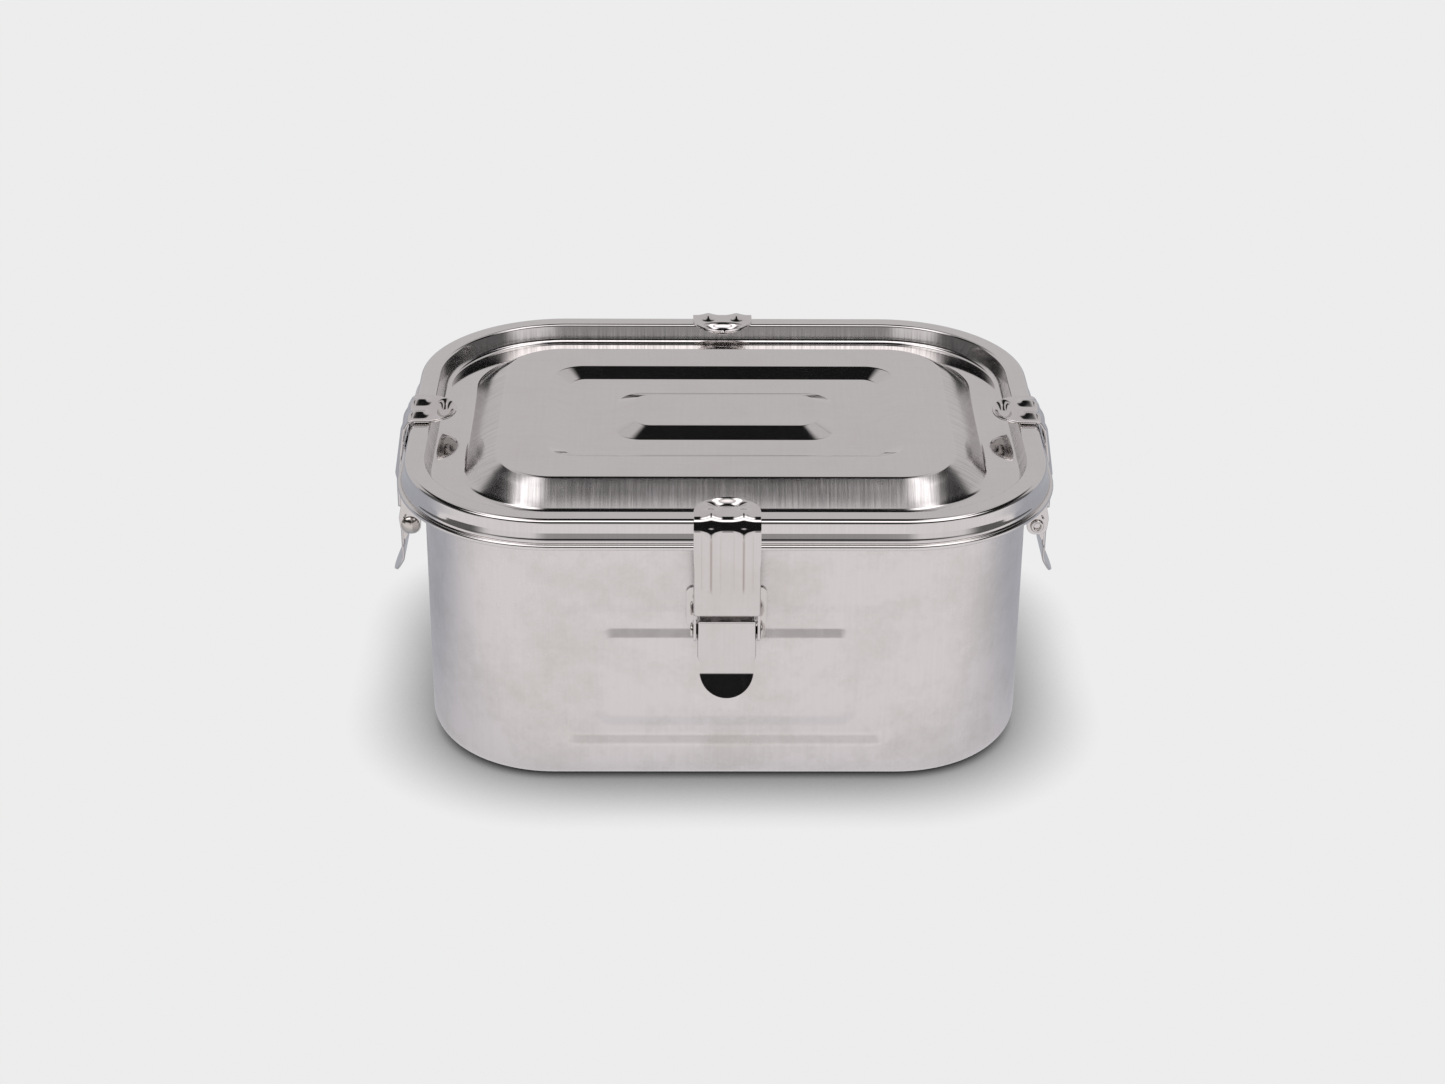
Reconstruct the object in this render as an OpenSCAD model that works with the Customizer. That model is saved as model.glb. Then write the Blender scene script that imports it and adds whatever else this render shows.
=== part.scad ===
// Rectangular pressed-steel lunch box with a lift-off lid held by one over-centre
// clasp on the middle of each side. Origin: centre of the base, +Z up, long axis X,
// front towards -Y. Every clasp is drawn once in its own frame: X to the left as
// seen from outside, Y outward from the lid's edge, Z up.

/* [Lid] */
// Length of the lid over its flat flange
lid_l = 200; // [190:1:220]
// Width of the lid over its flat flange
lid_w = 155.5; // [145:0.5:170]
// Corner radius of the flange in plan
lid_r = 46.5; // [40:0.5:50]
// Height of the flange's top above the table
rim_z = 94; // [85:1:110]
// Width of the flat flange
flange_w = 6.3; // [5:0.1:8]
// Depth of the gutter below the flange
gutter_d = 6; // [4:0.5:7]
// Distance from the flange's edge to the foot of the raised centre
gutter_in = 18.35; // [16:0.05:20]
// Distance from the flange's edge to the top of the raised centre
plateau_in = 29; // [26:0.5:31]
// Height of the raised centre above the flange
plateau_up = 0.5; // [0:0.1:1]
// Half length of the centre recess
recess_x = 56; // [50:1:60]
// Half width of the centre recess
recess_y = 34.7; // [30:0.1:38]
// Depth of the centre recess
recess_d = 2.2; // [2:0.1:4]
// Half length of the raised panel inside the recess, at its foot
inner_x = 35; // [30:1:40]
// Half width of the raised panel inside the recess, at its foot
inner_y = 17.6; // [14:0.1:20]
// Radius of the curled bead at the bottom of the skirt
bead_r = 1; // [0.8:0.05:1.2]

/* [Tub] */
// Distance of the tub's wall inside the edge of the flange
wall_in = 6; // [5.5:0.1:6.5]
// Radius where the wall meets the base
base_r = 12; // [8:0.5:12]
// Half length of the pressed panel on a long wall
panel_long = 53; // [45:1:55]
// Half length of the pressed panel on a short wall
panel_short = 28; // [22:1:31]
// Height of the pressed panels' lower edge
panel_lo = 12.5; // [10:0.5:15]
// Height of the pressed panels' upper edge
panel_hi = 62.8; // [60:0.1:64]
// Depth of the pressed panels
panel_d = 1.1; // [0.8:0.1:1.5]

/* [Sheet and seal] */
// Thickness of the sheet steel
sheet = 0.8; // [0.6:0.05:1]
// Width of the sealing ring's section
seal_w = 2.6; // [2:0.1:3]
// Gap left under the sealing ring when the lid is closed
seal_gap = 0.1; // [0.05:0.05:0.3]

/* [Clasp] */
// Width of the hook plate
hook_w = 20.1; // [18:0.1:22]
// How far the hook reaches in over the lid
hook_reach = 14.5; // [13:0.5:16]
// Outer face of the hook's lower part, measured outward from the lid's edge
hook_face = 5.3; // [5:0.1:6]
// Gap between the hook and the flange
hook_gap = 0.3; // [0.2:0.05:0.5]
// Width of the lever
lever_w = 17.8; // [16:0.1:18]
// Pivot of the lever: outward place
pivot_o = 0.8; // [0.5:0.1:1.2]
// Pivot of the lever: height
pivot_z = 66; // [65:0.5:67]
// Rivet between lever and hook: outward place
rivet_o = 1.5; // [1.2:0.1:1.8]
// Rivet between lever and hook: height
rivet_z = 58; // [57:0.5:59]
// Radius of both pins
pin_r = 1.5; // [1.2:0.1:1.6]
// Radial clearance of each turning hole
run_gap = 0.05; // [0.02:0.01:0.08]

/* [Hidden] */
$fn = 64;
hx = lid_l / 2;
hy = lid_w / 2;
gutter_z = rim_z - gutter_d;
top_z = rim_z + plateau_up;
floor_z = top_z - recess_d;
bead_z = rim_z - 8.2;
rim_top = rim_z - 2.7;
lean_z = rim_z - 20;
lean = 9;
tub_x = hx - wall_in;
tub_y = hy - wall_in;
tub_r = lid_r - wall_in;
steel = [0.74, 0.74, 0.73];
clasp_steel = [0.70, 0.69, 0.66];
silicone = [0.88, 0.88, 0.86];
e = 0.01; // keeps cutting tools clear of the faces they pass through

// ---------- shared shapes ----------

// Rounded rectangle of half sizes a by b
module rounded(a, b, r) {
    square([2 * a, 2 * (b - r)], center = true);
    square([2 * (a - r), 2 * b], center = true);
    for (sx = [-1, 1], sy = [-1, 1])
        translate([sx * (a - r), sy * (b - r)]) circle(r = r);
}

module plate(a, b, r, z, t) {
    translate([0, 0, z]) linear_extrude(t) rounded(a, b, r);
}

// Carries a section (X outward from the edge, Y up) once around a rounded rectangle
module around(a, b, r) {
    for (turn = [0, 1])
        rotate([0, 0, 180 * turn]) {
            translate([a, -(b - r), 0]) run_of(2 * (b - r)) children();
            rotate([0, 0, 90])
                translate([b, -(a - r), 0]) run_of(2 * (a - r)) children();
            translate([a - r, b - r, 0])
                rotate_extrude(angle = 90) translate([r, 0]) children();
            rotate([0, 0, 90])
                translate([b - r, a - r, 0])
                    rotate_extrude(angle = 90) translate([r, 0]) children();
        }
}

// A straight run of a section along +Y, the section's X staying outward
module run_of(length) {
    translate([0, length, 0]) rotate([90, 0, 0]) linear_extrude(length) children();
}

// Points of an arc about (x, y), from angle a0 to a1
function arc(x, y, r, a0, a1, n = 8) =
    [for (i = [0:n]) let (a = a0 + (a1 - a0) * i / n) [x + r * cos(a), y + r * sin(a)]];

// Block whose outline shrinks from half width w0, z from lo0 to hi0, at depth 0
// to half width w1, z from lo1 to hi1, at depth d. Depth runs along -Y.
module taper(w0, lo0, hi0, w1, lo1, hi1, d) {
    intersection() {
        linear_extrude(hi0 + 1)
            polygon([[-w0, 0], [w0, 0], [w1, -d], [-w1, -d]]);
        translate([-w0 - 1, 0, 0]) rotate([90, 0, 90]) linear_extrude(2 * w0 + 2)
            polygon([[0, lo0], [0, hi0], [-d, hi1], [-d, lo1]]);
    }
}

// Puts a child drawn in the clasp's frame on one side of the box
module on_side(angle, half) {
    rotate([0, 0, angle]) translate([0, half, 0]) children();
}

// ---------- tub ----------

module tub_section() {
    bend = 3.3;
    cx = bend - sheet;
    cz = rim_top - bend;
    polygon(concat(
        [[-base_r, 0]],
        arc(-base_r, base_r, base_r, -90, 0),
        [[0, cz]],
        arc(cx, cz, bend - sheet, 180, 90, 6),
        [[3.3, rim_top - sheet]],
        arc(3.3, rim_top - 1.2, 0.4, 90, 0, 3),
        [[3.7, rim_top - 2.9], [4.5, rim_top - 2.9]],
        arc(3.3, rim_top - 1.2, 1.2, 0, 90, 5),
        arc(cx, cz, bend, 90, 180, 6),
        [[-sheet, base_r]],
        arc(-base_r, base_r, base_r - sheet, 0, -90)));
}

module panel_cut(w) {
    translate([0, e, 0])
        taper(w, panel_lo, panel_hi, w - 4.4, panel_lo + 4.4, panel_hi - 4.4, panel_d + e);
}

// Raised middle of the pressed panel: it narrows outward to the wall's plane
module step_up(w) {
    foot = w - 12.3;
    top = foot - 3.7;
    lo = panel_lo + 7;
    hi = panel_hi - 8.9;
    intersection() {
        linear_extrude(rim_z)
            polygon([[-foot, 0], [foot, 0], [top, panel_d], [-top, panel_d]]);
        translate([-foot, 0, 0]) rotate([90, 0, 90]) linear_extrude(2 * foot)
            polygon([[0, lo], [0, hi], [panel_d, hi - 4.5], [panel_d, lo + 4.3]]);
    }
}

// Flat rhombus pressed into the middle of the panel
module lozenge(w) {
    tall = 9.9;
    translate([0, e, 36.6]) rotate([90, 0, 0]) linear_extrude(panel_d * 0.75)
        polygon([[-w, 0], [0, -tall], [w, 0], [0, tall]]);
}

// Sheet behind the pocket that panel_cut takes out of the wall
module pressed_side(angle, half, w) {
    on_side(angle, half) {
        difference() {
            translate([0, -sheet, 0])
                taper(w, panel_lo, panel_hi, w - 3.4, panel_lo + 3.4, panel_hi - 3.4, panel_d);
            panel_cut(w);
        }
        difference() {
            translate([0, -panel_d, 0]) step_up(w);
            lozenge((w - 12.3) * 0.64);
        }
    }
}

module tub() color(steel) {
    difference() {
        union() {
            around(tub_x, tub_y, tub_r) tub_section();
            plate(tub_x - base_r, tub_y - base_r, tub_r - base_r, 0, sheet);
        }
        for (side = [0, 180]) {
            on_side(side, tub_y) panel_cut(panel_long);
            on_side(side + 90, tub_x) panel_cut(panel_short);
        }
    }
    for (side = [0, 180]) {
        pressed_side(side, tub_y, panel_long);
        pressed_side(side + 90, tub_x, panel_short);
    }
}

// ---------- lid ----------

module lid_section() {
    foot = flange_w + 1.75;
    bend = 1.3;
    flat_in = -flange_w - 0.1;
    polygon(concat(
        [[-gutter_in, gutter_z]],
        [[-foot - 1, gutter_z]],
        [[-foot, gutter_z + 0.6], [-flange_w - 0.7, rim_z - 1]],
        arc(flat_in, rim_z - bend, bend, 150, 90, 4),
        arc(-bend, rim_z - bend, bend, 90, 0, 5),
        [[0.1, bead_z + 4.2], [0.45, bead_z + 2.6], [1.3, bead_z + 0.9]],
        [[0.6, bead_z + 0.1], [-0.35, bead_z + 2.2], [-0.7, bead_z + 4.2]],
        arc(-bend, rim_z - bend, bend - sheet, 0, 90, 4),
        arc(flat_in, rim_z - bend, bend - sheet, 90, 150, 3),
        [[-foot + 0.75, gutter_z + 0.4], [-foot - 0.3, gutter_z - sheet]],
        [[-gutter_in, gutter_z - sheet]]));
}

// Slope of the raised centre, steep at its top and flattening to its foot
module plateau_section() {
    run = plateau_in - gutter_in;
    rise = top_z - gutter_z;
    steps = 6;
    curve = [for (i = [0:steps])
        let (u = i / steps) [-run * u, gutter_z + rise * pow(u, 1.35)]];
    polygon(concat(curve, [for (i = [steps:-1:0]) curve[i] - [0, sheet]]));
}

// Sloping wall of a recess or of a raised panel: goes in by run and up by rise
module slope_section(run, z, rise) {
    polygon([[0, z], [-run, z + rise], [-run, z + rise - sheet], [0, z - sheet]]);
}

module lid() color(steel) {
    in_x = hx - plateau_in;
    in_y = hy - plateau_in;
    recess_r = 9.5;
    wall_run = 5.5;
    inner_r = 8;
    inner_run = 5;
    around(hx, hy, lid_r) lid_section();
    around(hx, hy, lid_r) translate([1.3, bead_z]) circle(r = bead_r);
    around(hx - gutter_in, hy - gutter_in, lid_r - gutter_in) plateau_section();
    difference() {
        plate(in_x, in_y, lid_r - plateau_in, top_z - sheet, sheet);
        plate(recess_x, recess_y, recess_r, top_z - 2, 4);
    }
    around(recess_x, recess_y, recess_r) slope_section(wall_run, top_z, -recess_d);
    difference() {
        plate(recess_x - wall_run, recess_y - wall_run, recess_r - wall_run,
            floor_z - sheet, sheet);
        plate(inner_x, inner_y, inner_r, floor_z - 2, 4);
    }
    around(inner_x, inner_y, inner_r) slope_section(inner_run, floor_z, recess_d);
    plate(inner_x - inner_run, inner_y - inner_run, inner_r - inner_run,
        top_z - sheet, sheet);
}

module gasket() color(silicone) {
    in = 2;
    around(hx - in, hy - in, lid_r - in)
        translate([-seal_w, rim_top + seal_gap])
            square([seal_w, rim_z - sheet - rim_top - seal_gap]);
}

// ---------- clasp, in its own frame ----------

// Gives a section drawn in (outward, up) a width across the clasp
module across(w) {
    translate([-w / 2, 0, 0]) rotate([90, 0, 90]) linear_extrude(w) children();
}

// A plate standing at distance x from the clasp's middle, on both sides
module cheeks(x, t) {
    for (s = [0, 1])
        mirror([s, 0, 0])
            translate([x, 0, 0]) rotate([90, 0, 90]) linear_extrude(t) children();
}

module axle(o, z, r, x0, x1) {
    translate([x0, o, z]) rotate([0, 90, 0]) cylinder(r = r, h = x1 - x0);
}

module bracket() color(clasp_steel) {
    back = -wall_in;
    half = 12.3;
    lo = 55.3;
    hi = 68.9;
    ear_x = 7.1;
    translate([0, back + sheet, 0]) rotate([90, 0, 0]) linear_extrude(sheet)
        translate([0, (lo + hi) / 2]) rounded(half, (hi - lo) / 2, 2);
    difference() {
        cheeks(ear_x, sheet) {
            translate([pivot_o, pivot_z]) circle(r = 2.4);
            polygon([[back + sheet, 61], [pivot_o, pivot_z - 2.4],
                [pivot_o, pivot_z + 2.4], [back + sheet, hi - 0.4]]);
        }
        axle(pivot_o, pivot_z, pin_r, -10, 10);
    }
}

module pivot_pin() color(clasp_steel) {
    half = lever_w / 2 + 0.15;
    axle(pivot_o, pivot_z, pin_r, -half, half);
}

module lever() color(clasp_steel) {
    out = 4.9;
    top = 62.7;
    cheek_bottom = 50.3;
    tip_z = 38;
    tip_o = 8.4;
    end_r = 8;
    crease = tip_z + end_r;
    half = lever_w / 2;
    difference() {
        union() {
            across(lever_w) polygon([[out - sheet, crease], [out, crease], [out, top],
                [out - 1.8, top + 1.3], [out - 2.26, top + 0.64], [out - sheet, top - 0.4]]);
            cheeks(half - sheet, sheet) {
                translate([pivot_o, pivot_z]) circle(r = 2.6);
                translate([rivet_o, rivet_z]) circle(r = 2.6);
                polygon([[out, cheek_bottom], [out, top], [pivot_o + 2.3, pivot_z - 1],
                    [pivot_o - 2.6, pivot_z], [rivet_o - 2.6, rivet_z],
                    [rivet_o, rivet_z - 2.6]]);
            }
            intersection() {
                across(lever_w) polygon([[out - sheet, crease], [out, crease],
                    [tip_o + 0.4, tip_z], [tip_o - 0.4, tip_z - 0.2]]);
                rotate([90, 0, 0]) translate([0, 0, -12]) linear_extrude(24) {
                    translate([0, tip_z + end_r]) circle(r = end_r);
                    translate([-half, tip_z + end_r]) square([lever_w, 10]);
                }
            }
        }
        axle(pivot_o, pivot_z, pin_r + run_gap, -half - 1, half + 1);
        axle(rivet_o, rivet_z, pin_r, -half - 1, half + 1);
    }
}

// Semi-tubular rivet: domed head on the right, flared hollow end on the left
module rivet() color(clasp_steel) {
    seat = hook_w / 2 + 0.25;
    head_r = 3;
    head_h = 1.4;
    ball = (head_r * head_r + head_h * head_h) / (2 * head_h);
    difference() {
        union() {
            axle(rivet_o, rivet_z, pin_r, -seat - 0.3, seat + 0.9);
            axle(rivet_o, rivet_z, 2.2, seat, seat + 0.7);
        }
        axle(rivet_o, rivet_z, 1, seat - 3, seat + 2);
    }
    intersection() {
        translate([-seat - head_h + ball, rivet_o, rivet_z]) sphere(r = ball);
        axle(rivet_o, rivet_z, head_r, -seat - head_h - 1, -seat);
    }
}

// Outward place of the hook's face at height z: upright at first, then leaning in
function face_at(z) = hook_face - max(0, z - lean_z) * tan(lean);

// Side view of the hook's bent strip, lifted outward by up
module hook_strip(bottom, reach, up, t) {
    bend = 3;
    face = hook_face + up;
    top = rim_z + hook_gap + sheet + up;
    cz = top - bend;
    co = face_at(cz) + up - bend / cos(lean);
    polygon(concat(
        [[face, bottom], [face, lean_z]],
        arc(co, cz, bend, lean, 90, 6),
        [[-reach, top], [-reach, top - t]],
        arc(co, cz, bend - t, 90, lean, 6),
        [[face - t, lean_z], [face - t, bottom]]));
}

module hook() color(clasp_steel) {
    half = hook_w / 2;
    tip_r = half;
    face_bottom = 64.6;
    cheek_top = 78.5;
    cheek_bottom = 55.8;
    ridge_x = 4.85;
    ridge_w = 5.4;
    ridge_up = 0.9;
    dimple_o = 11.3;
    dimple_d = 0.7;
    under = rim_z + hook_gap;
    difference() {
        union() {
            intersection() {
                across(hook_w) hook_strip(face_bottom, hook_reach, 0, sheet);
                linear_extrude(rim_z + 10) {
                    translate([0, tip_r - hook_reach]) circle(r = tip_r);
                    translate([-half, tip_r - hook_reach])
                        square([hook_w, hook_reach + hook_face]);
                }
            }
            for (s = [-1, 1])
                translate([s * ridge_x, 0, 0])
                    across(ridge_w) hook_strip(72, 6.3, ridge_up, ridge_up + sheet / 2);
            cheeks(half - sheet, sheet) {
                translate([rivet_o, rivet_z]) circle(r = 3.5);
                polygon([[hook_face, face_bottom], [hook_face, lean_z],
                    [face_at(cheek_top), cheek_top], [face_at(cheek_top) - sheet, cheek_top],
                    [-2, 62], [-2, rivet_z], [-0.6, cheek_bottom], [3.4, cheek_bottom],
                    [hook_face - 0.3, rivet_z]]);
            }
            translate([0, -dimple_o, under - dimple_d])
                cylinder(r1 = 1.4, r2 = 3, h = dimple_d + sheet / 2);
        }
        translate([0, -dimple_o, under - dimple_d + sheet])
            cylinder(r1 = 1.1, r2 = 2.6, h = dimple_d + e);
        axle(rivet_o, rivet_z, pin_r + run_gap, -half - 1, half + 1);
    }
}

// ---------- the whole box ----------

tub();
lid();
gasket();
on_side(180, hy) bracket();  // front_bracket
on_side(180, hy) pivot_pin();  // front_pivot_pin
on_side(180, hy) lever();  // front_lever
on_side(180, hy) rivet();  // front_rivet
on_side(180, hy) hook();  // front_hook
on_side(0, hy) bracket();  // back_bracket
on_side(0, hy) pivot_pin();  // back_pivot_pin
on_side(0, hy) lever();  // back_lever
on_side(0, hy) rivet();  // back_rivet
on_side(0, hy) hook();  // back_hook
on_side(90, hx) bracket();  // left_bracket
on_side(90, hx) pivot_pin();  // left_pivot_pin
on_side(90, hx) lever();  // left_lever
on_side(90, hx) rivet();  // left_rivet
on_side(90, hx) hook();  // left_hook
on_side(-90, hx) bracket();  // right_bracket
on_side(-90, hx) pivot_pin();  // right_pivot_pin
on_side(-90, hx) lever();  // right_lever
on_side(-90, hx) rivet();  // right_rivet
on_side(-90, hx) hook();  // right_hook
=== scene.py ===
"""A pressed-steel lunch box with four over-centre clasps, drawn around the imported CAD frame.

Lengths in the builders are millimetres; mesh_piece() turns them into metres. Sections and outlines are
lists of corners (first coordinate, second coordinate, rounding radius). A clasp is drawn once in its own
frame (X to the left as seen from outside, Y outward from the lid's edge, Z up) and placed on each side.
"""

import math

import bmesh
import bpy
import numpy as np
from mathutils import Matrix, Vector


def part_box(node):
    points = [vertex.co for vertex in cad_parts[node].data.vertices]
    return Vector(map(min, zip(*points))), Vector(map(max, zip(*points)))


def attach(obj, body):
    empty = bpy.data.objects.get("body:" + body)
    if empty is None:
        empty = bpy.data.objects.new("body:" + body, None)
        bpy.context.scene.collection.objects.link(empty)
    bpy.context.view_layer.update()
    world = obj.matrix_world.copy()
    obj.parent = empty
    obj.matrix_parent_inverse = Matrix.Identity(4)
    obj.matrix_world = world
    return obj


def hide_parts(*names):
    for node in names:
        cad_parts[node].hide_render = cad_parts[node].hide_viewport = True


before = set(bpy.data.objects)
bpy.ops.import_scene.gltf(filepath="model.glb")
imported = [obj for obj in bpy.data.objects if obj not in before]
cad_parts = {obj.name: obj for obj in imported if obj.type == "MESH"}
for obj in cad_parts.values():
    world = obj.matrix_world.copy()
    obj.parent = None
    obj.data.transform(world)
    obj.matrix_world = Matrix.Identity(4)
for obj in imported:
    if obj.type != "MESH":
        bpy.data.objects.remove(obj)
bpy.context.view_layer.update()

MM = 0.001

# ---------- driving sizes, from the frame ----------

lid_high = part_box("lid")[1]
tub_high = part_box("tub")[1]
BEAD_OUT = 2.3                                   # bead's reach beyond the flange
HX = lid_high.x / MM - BEAD_OUT                  # flange half length
HY = lid_high.y / MM - BEAD_OUT                  # flange half width
LID_R = 46.5                                     # flange corner radius
SHEET = 0.8                                      # thickness of all the sheet
PLATEAU_UP = 0.5                                 # raised centre above the flange
RIM_Z = lid_high.z / MM - PLATEAU_UP             # flange's top
WALL_IN = 6.0                                    # tub wall inside the flange's edge
TUB_X, TUB_Y, TUB_R = HX - WALL_IN, HY - WALL_IN, LID_R - WALL_IN
RIM_TOP = tub_high.z / MM                        # top of the tub's rolled rim

CORNER_STEPS = 26                                # faces round a corner of the tub or the lid


# ---------- small geometry tools ----------

def smoothstep(a, b, x):
    """0 at a, 1 at b, level at both; a may be the larger."""
    t = np.clip((x - a) / (b - a), 0.0, 1.0)
    return t * t * (3 - 2 * t)


def even_step(a, b, x):
    """0 to 1 at an even slope, with short rounded ends."""
    soft = 0.08
    t = (x - a) / (b - a)
    return (np.clip(t - soft, 0, 1) + np.clip(t, 0, 1) + np.clip(t + soft, 0, 1)) / 3


def fillet_path(corners, step=9.0, hold=0.25):
    """Points along a polyline whose corners are rounded, step degrees apart in the bends, with one more
    point at a distance hold before and after each bend."""
    pts = []
    last = len(corners) - 1
    for i, (x, y, r) in enumerate(corners):
        here = np.array([x, y], float)
        if i in (0, last) or r <= 0:
            pts.append(here)
            continue
        a = np.array(corners[i - 1][:2], float) - here
        b = np.array(corners[i + 1][:2], float) - here
        la, lb = np.linalg.norm(a), np.linalg.norm(b)
        a, b = a / la, b / lb
        half = 0.5 * math.acos(max(-1.0, min(1.0, float(a @ b))))
        cut = min(r / math.tan(half), 0.49 * la, 0.49 * lb)
        r = cut * math.tan(half)
        centre = here + (a + b) / np.linalg.norm(a + b) * (r / math.sin(half))
        start, end = here + a * cut, here + b * cut
        sweep = math.pi - 2 * half
        n = max(3, int(math.degrees(sweep) / step) + 1)
        s0 = start - centre
        turn = 1 if (s0[0] * (end - centre)[1] - s0[1] * (end - centre)[0]) > 0 else -1
        pts.append(start + a * min(hold, 0.4 * (la - cut)))
        for k in range(n + 1):
            t = turn * sweep * k / n
            c, s = math.cos(t), math.sin(t)
            pts.append(centre + np.array([c * s0[0] - s * s0[1], s * s0[0] + c * s0[1]]))
        pts.append(end + b * min(hold, 0.4 * (lb - cut)))
    return np.array(pts)


def closed_path(corners):
    """A closed rounded outline, without its repeated points."""
    first, second = corners[:2]
    middle = ((first[0] + second[0]) / 2, (first[1] + second[1]) / 2, 0)
    loop = [middle] + list(corners[1:]) + [first, middle]
    same = 1e-4
    out = []
    for p in fillet_path(loop, 12.0, 0.0)[:-1]:
        if not out or math.dist(out[-1], p) > same:
            out.append(tuple(p))
    if math.dist(out[0], out[-1]) < same:
        out.pop()
    return out


def places_along(count):
    """Even places in -1..1 on a straight side, without its ends."""
    return np.linspace(-1, 1, count)[1:-1]


def ring(hx, hy, r, z, along_x, along_y, corner=CORNER_STEPS):
    """A level rounded rectangle, counter-clockwise from the end of the right side. along_x and along_y
    are places in -1..1 on the straight sides."""
    cx, cy = hx - r, hy - r
    arc = np.linspace(0, math.pi / 2, corner + 1)
    pts = []
    for k, (sx, sy) in enumerate(((1, 1), (-1, 1), (-1, -1), (1, -1))):
        for t in arc + k * math.pi / 2:
            pts.append((sx * cx + r * math.cos(t), sy * cy + r * math.sin(t), z))
        if k % 2 == 0:
            pts += [(-sy * s * cx, sy * hy, z) for s in along_x]
        else:
            pts += [(sx * hx, sx * s * cy, z) for s in along_y]
    return pts


def loft(rings, close_last=False, close_first=False):
    """Quads between successive rings, with the end rings filled if asked."""
    n = len(rings[0])
    verts = [p for r in rings for p in r]
    faces = []
    for i in range(len(rings) - 1):
        for j in range(n):
            k = (j + 1) % n
            faces.append((i * n + j, i * n + k, (i + 1) * n + k, (i + 1) * n + j))
    if close_last:
        faces.append(tuple((len(rings) - 1) * n + j for j in range(n)))
    if close_first:
        faces.append(tuple(reversed(range(n))))
    return verts, faces


def grid(points):
    """Quads over a rows-by-columns array of points."""
    rows, cols = points.shape[:2]
    verts = [tuple(p) for p in points.reshape(-1, 3)]
    faces = []
    for i in range(rows - 1):
        for j in range(cols - 1):
            a = i * cols + j
            faces.append((a, a + cols, a + cols + 1, a + 1))
    return verts, faces


def prism(outline, low, high, axis=0):
    """A flat plate: an outline in the other two coordinates, from low to high along the axis."""
    n = len(outline)
    verts = [(*p[:axis], d, *p[axis:]) for d in (low, high) for p in outline]
    faces = [tuple(range(n)), tuple(reversed(range(n, 2 * n)))]
    faces += [(i, i + n, (i + 1) % n + n, (i + 1) % n) for i in range(n)]
    return verts, faces


def plate_pair(outline, inner, outer):
    """The same upright plate on both sides of the clasp, as one shape."""
    verts, faces = prism(outline, inner, outer)
    more_verts, more_faces = prism(outline, -outer, -inner)
    base = len(verts)
    return verts + more_verts, faces + [tuple(base + i for i in face) for face in more_faces]


def lathe(profile, o, z, segments=48):
    """Turns a profile (along x, radius) about the clasp's X direction at (outward, up)."""
    turns = [2 * math.pi * k / segments for k in range(segments)]
    return loft([[(x, o + r * math.cos(t), z + r * math.sin(t)) for t in turns] for x, r in profile])


def dense(path, step):
    """The same line with no gap longer than step."""
    out = [path[0]]
    for a, b in zip(path[:-1], path[1:]):
        n = max(1, int(math.ceil(np.linalg.norm(b - a) / step)))
        out += [a + (b - a) * k / n for k in range(1, n + 1)]
    return np.array(out)


def tapered_end(path):
    """Closer points at the end of a line, for a round tip."""
    away = (path[-1] - path[-2]) / np.linalg.norm(path[-1] - path[-2])
    extra = np.array([path[-1] - away * d for d in (0.35, 0.15, 0.05, 0.012)])
    return np.concatenate([path[:-1], extra, path[-1:]])


def tip_half_width(d, r, wide):
    """Half width at a distance d from the end of a strip with a round tip."""
    return wide if d >= r else max(0.02, wide / r * math.sqrt(max(0.0, r ** 2 - (r - d) ** 2)))


def edge_round(w, half, bend):
    """How far the rolled side edges of a strip fall back."""
    over = np.clip(np.abs(w) - (half - bend), 0, bend)
    return bend - np.sqrt(np.maximum(bend ** 2 - over ** 2, 0))


def strip(path, halves, columns, lift):
    """A bent strip of sheet. path is its outer line (outward, up), halves its half width at each point,
    and lift(w, o, z) says how far the outer face stands off the line there."""
    tangent = np.gradient(path, axis=0)
    tangent /= np.linalg.norm(tangent, axis=1)[:, None]
    normal = np.stack([tangent[:, 1], -tangent[:, 0]], axis=1)
    even = np.linspace(-1, 1, columns)
    across = np.sin(even * math.pi / 2) * 0.35 + even * 0.65     # closer together at the edges
    pts = np.zeros((len(path), columns, 3))
    for i, (o, z) in enumerate(path):
        w = across * halves[i]
        out = lift(w, o, z)
        pts[i, :, 0] = w
        pts[i, :, 1] = o + normal[i, 0] * out
        pts[i, :, 2] = z + normal[i, 1] * out
    return grid(pts)


# ---------- objects ----------

def mesh_piece(name, shape, body, nodes, material, place=None, closed=False, finish_and_shade=None):
    """Makes a smooth-shaded object from millimetre geometry, and ties it to its body and CAD nodes.
    The last argument gives each point a number from 0 to 1 that the material reads: the brushed finish on
    the lid, and a painted shade along the ridge crests of the clasps' hooks."""
    verts, faces = shape
    mesh = bpy.data.meshes.new(name)
    mesh.from_pydata([tuple(float(c) * MM for c in v) for v in verts], [], faces)
    # per-point number: brushed finish on the lid, painted shade on the hooks' ridge crests
    layer = mesh.attributes.new("finish_and_shade", "FLOAT", "POINT")
    layer.data.foreach_set("value", [0.0] * len(verts) if finish_and_shade is None else [float(f) for f in finish_and_shade])
    obj = bpy.data.objects.new(name, mesh)
    bpy.context.scene.collection.objects.link(obj)
    if place is not None:
        mesh.transform(place)
    bm = bmesh.new()
    bm.from_mesh(mesh)
    bmesh.ops.remove_doubles(bm, verts=bm.verts, dist=1e-6)
    if closed:
        bmesh.ops.recalc_face_normals(bm, faces=bm.faces)
    bm.to_mesh(mesh)
    bm.free()
    for p in mesh.polygons:
        p.use_smooth = True
    mesh.materials.append(material)
    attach(obj, body)
    if nodes:
        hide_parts(*nodes)
    return obj


def thicken(obj):
    """Gives an open skin the thickness of the sheet, on its inner side."""
    m = obj.modifiers.new("sheet", "SOLIDIFY")
    m.thickness = SHEET * MM
    m.offset = -1.0
    m.use_even_offset = True


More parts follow.
